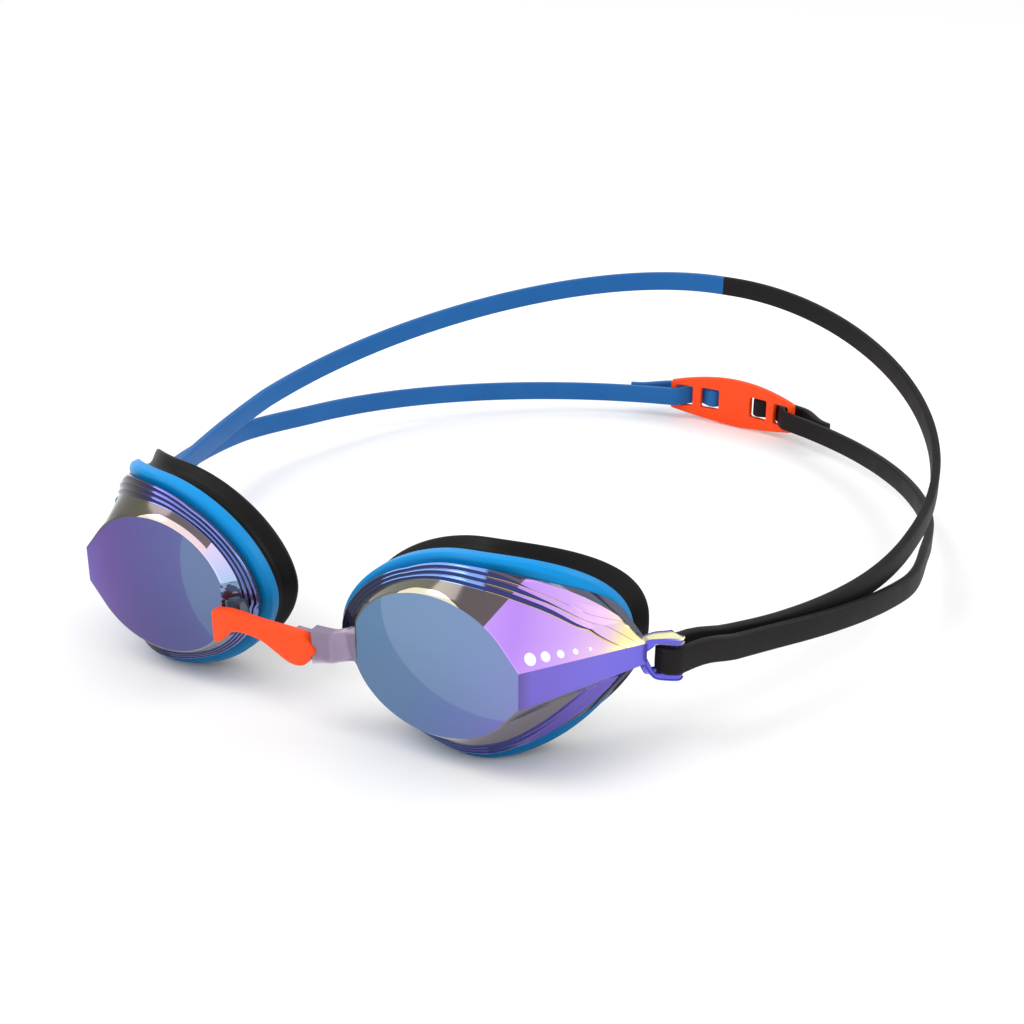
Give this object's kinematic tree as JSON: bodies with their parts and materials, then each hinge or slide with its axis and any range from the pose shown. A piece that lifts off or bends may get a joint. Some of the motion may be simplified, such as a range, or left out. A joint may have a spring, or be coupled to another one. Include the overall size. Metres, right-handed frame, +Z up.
{
  "type": "swim goggles",
  "caption": "Mirrored swim goggles with soft face seals, push-on nosepiece and a split rubber strap drawn through a rear clip.",
  "frame": {"origin": "on the plane the goggles rest on, midway between the lenses and midway between the lens faces and the back of the strap", "axes": "+X towards the wearer's left, +Y from the lenses back along the strap, +Z up"},
  "size_m": [0.187, 0.2196, 0.0457],
  "materials": {
    "mirror_lens": "violet and blue mirror coat on clear polycarbonate",
    "ring_blue": "satin blue moulding",
    "seal_black": "soft black silicone",
    "orange_plastic": "satin orange moulding",
    "strap_blue": "satin blue rubber",
    "strap_black": "matte black rubber"
  },
  "bodies": {
    "front": {"lens_left": "mirror_lens", "lens_right": "mirror_lens", "frame_ring_left": "ring_blue", "frame_ring_right": "ring_blue", "seal_left": "seal_black", "seal_right": "seal_black", "strap_loop_left": "strap_black", "strap_loop_right": "strap_blue"},
    "upper_strap": {"strap_upper_left": "strap_black", "strap_upper_right": "strap_blue"},
    "lower_strap": {"strap_lower_left": "strap_black", "strap_lower_right": "strap_blue", "strap_clip": "orange_plastic", "strap_turn_left": "strap_black", "strap_turn_right": "strap_blue"},
    "left_tail": {"strap_tail_left": "strap_black"},
    "right_tail": {"strap_tail_right": "strap_blue"},
    "nose": {"nosepiece": "orange_plastic"}
  },
  "joints": [
    {"name": "upper_strap_lift", "type": "hinge", "parent": "front", "child": "upper_strap", "pos_m": [0, -0.07315, 0.02], "axis": [1, 0, 0], "range_deg": [0, 30]},
    {"name": "lower_strap_drop", "type": "hinge", "parent": "front", "child": "lower_strap", "pos_m": [0, -0.07315, 0.02], "axis": [-1, 0, 0], "range_deg": [0, 30]},
    {"name": "left_tail_pull", "type": "slide", "parent": "lower_strap", "child": "left_tail", "axis": [0.9484, -0.317, -0.0021], "range_m": [0, 0.008]},
    {"name": "right_tail_pull", "type": "slide", "parent": "lower_strap", "child": "right_tail", "axis": [-0.9776, -0.2102, -0.0122], "range_m": [0, 0.008]},
    {"name": "nosepiece_push", "type": "slide", "parent": "front", "child": "nose", "axis": [0, -0.9996, -0.0296], "range_m": [0, 0.01]}
  ]
}
